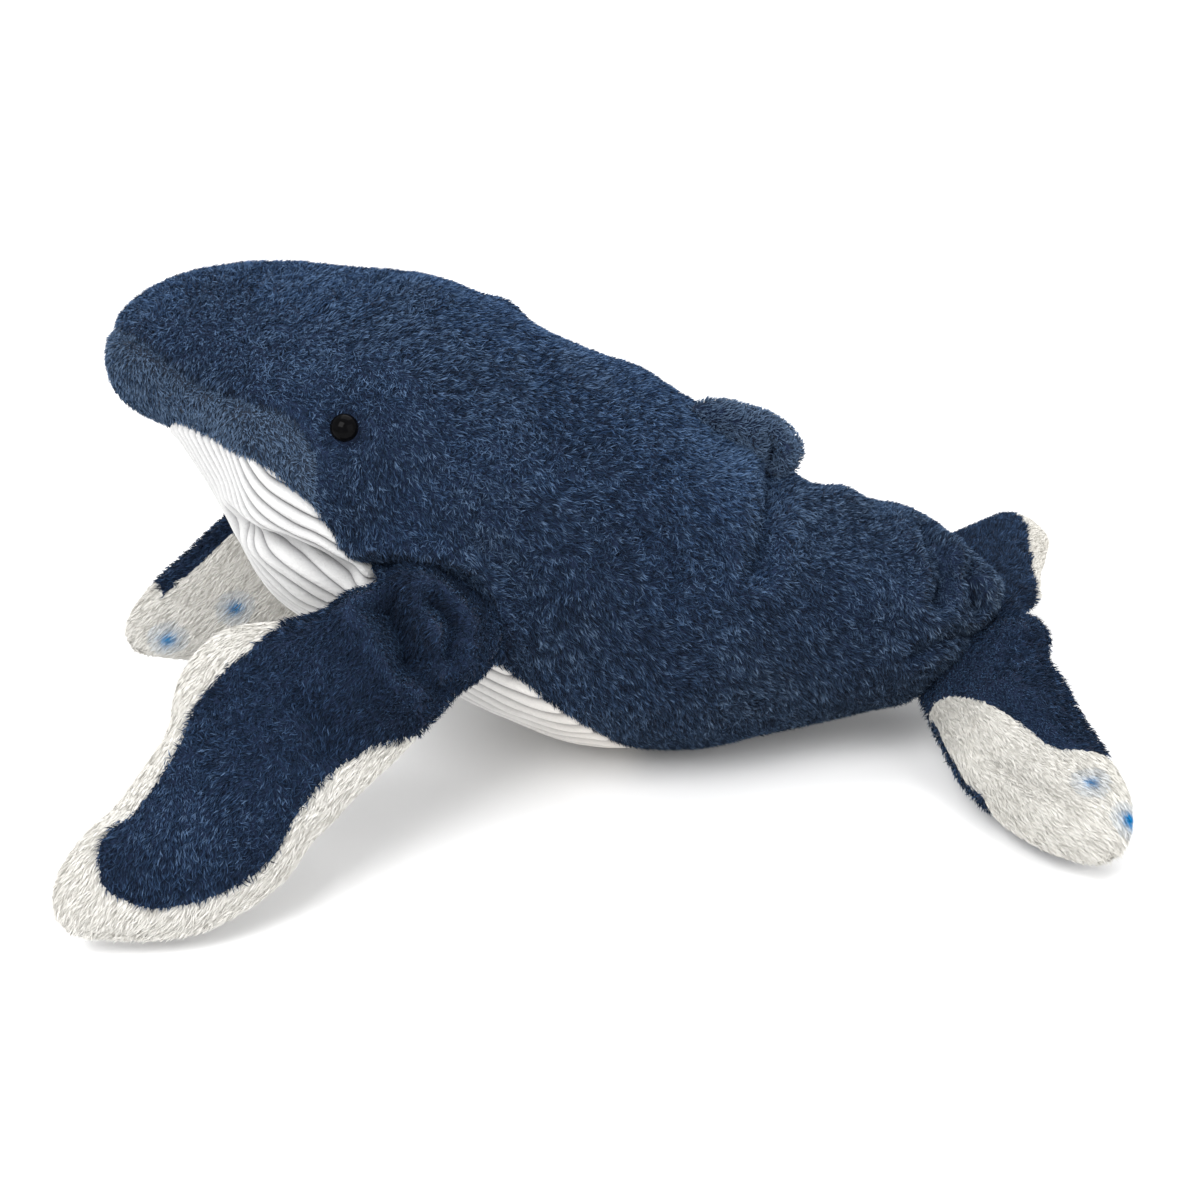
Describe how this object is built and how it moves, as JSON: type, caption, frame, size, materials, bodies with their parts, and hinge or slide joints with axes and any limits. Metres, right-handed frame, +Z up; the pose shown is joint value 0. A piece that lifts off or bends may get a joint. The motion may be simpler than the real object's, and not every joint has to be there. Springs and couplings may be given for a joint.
{
  "type": "plush whale",
  "caption": "Plush humpback whale with navy pile, a ribbed white throat, stuffed flippers and tail flukes, black safety eyes and a small dorsal fin",
  "frame": {"origin": "The middle of the flat patch under the belly on which the whale rests, on the navy back skin.", "axes": "+X runs from nose to tail, +Y to the whale's right side, +Z up."},
  "size_m": [0.3668, 0.2611, 0.1793],
  "materials": {
    "navy_plush": "short dense pile, matt with a soft sheen",
    "slate_plush": "short dense pile, greyer",
    "white_plush": "short dense pile, warm white",
    "ribbed_white": "wide-wale ribbed pile, cool white",
    "fibre_fill": "loose polyester fibre",
    "eye_black": "polished moulded plastic",
    "washer_plastic": "moulded plastic"
  },
  "bodies": {
    "body": {"back_skin": "navy_plush", "jaw_skin": "slate_plush", "belly_skin": "ribbed_white", "body_stuffing": "fibre_fill", "left_eye": "eye_black", "right_eye": "eye_black", "left_washer": "washer_plastic", "right_washer": "washer_plastic"},
    "dorsal_fin": {"dorsal_fin_skin": "navy_plush", "dorsal_fin_stuffing": "fibre_fill"},
    "left_flipper": {"left_flipper_top": "navy_plush", "left_flipper_under": "white_plush", "left_flipper_stuffing": "fibre_fill"},
    "left_fluke": {"left_fluke_skin": "navy_plush", "left_fluke_patch": "white_plush", "left_fluke_stuffing": "fibre_fill"},
    "right_flipper": {"right_flipper_top": "navy_plush", "right_flipper_under": "white_plush", "right_flipper_stuffing": "fibre_fill"},
    "right_fluke": {"right_fluke_skin": "navy_plush", "right_fluke_patch": "white_plush", "right_fluke_stuffing": "fibre_fill"}
  },
  "joints": [
    {"name": "left_flipper_hinge", "type": "hinge", "parent": "body", "child": "left_flipper", "pos_m": [-0.08131, -0.07566, 0.08617], "axis": [-0.7996, -0.03, 0.5997], "range_deg": [0, 60], "stiffness_Nm_per_rad": 0.5},
    {"name": "right_flipper_hinge", "type": "hinge", "parent": "body", "child": "right_flipper", "pos_m": [-0.08131, 0.07566, 0.08617], "axis": [0.7996, -0.03, -0.5997], "range_deg": [0, 60], "stiffness_Nm_per_rad": 0.5},
    {"name": "left_fluke_hinge", "type": "hinge", "parent": "body", "child": "left_fluke", "pos_m": [0.104, -0.0135, 0.039], "axis": [-0.9138, 0, -0.4061], "range_deg": [-5, 20], "stiffness_Nm_per_rad": 0.4},
    {"name": "right_fluke_hinge", "type": "hinge", "parent": "body", "child": "right_fluke", "pos_m": [0.104, 0.0135, 0.039], "axis": [0.9885, 0, 0.1513], "range_deg": [-15, 20], "stiffness_Nm_per_rad": 0.4},
    {"name": "dorsal_fin_hinge", "type": "hinge", "parent": "body", "child": "dorsal_fin", "pos_m": [0.0196, 0, 0.117], "axis": [0.8211, 0, -0.5708], "range_deg": [-25, 25], "stiffness_Nm_per_rad": 0.1}
  ]
}
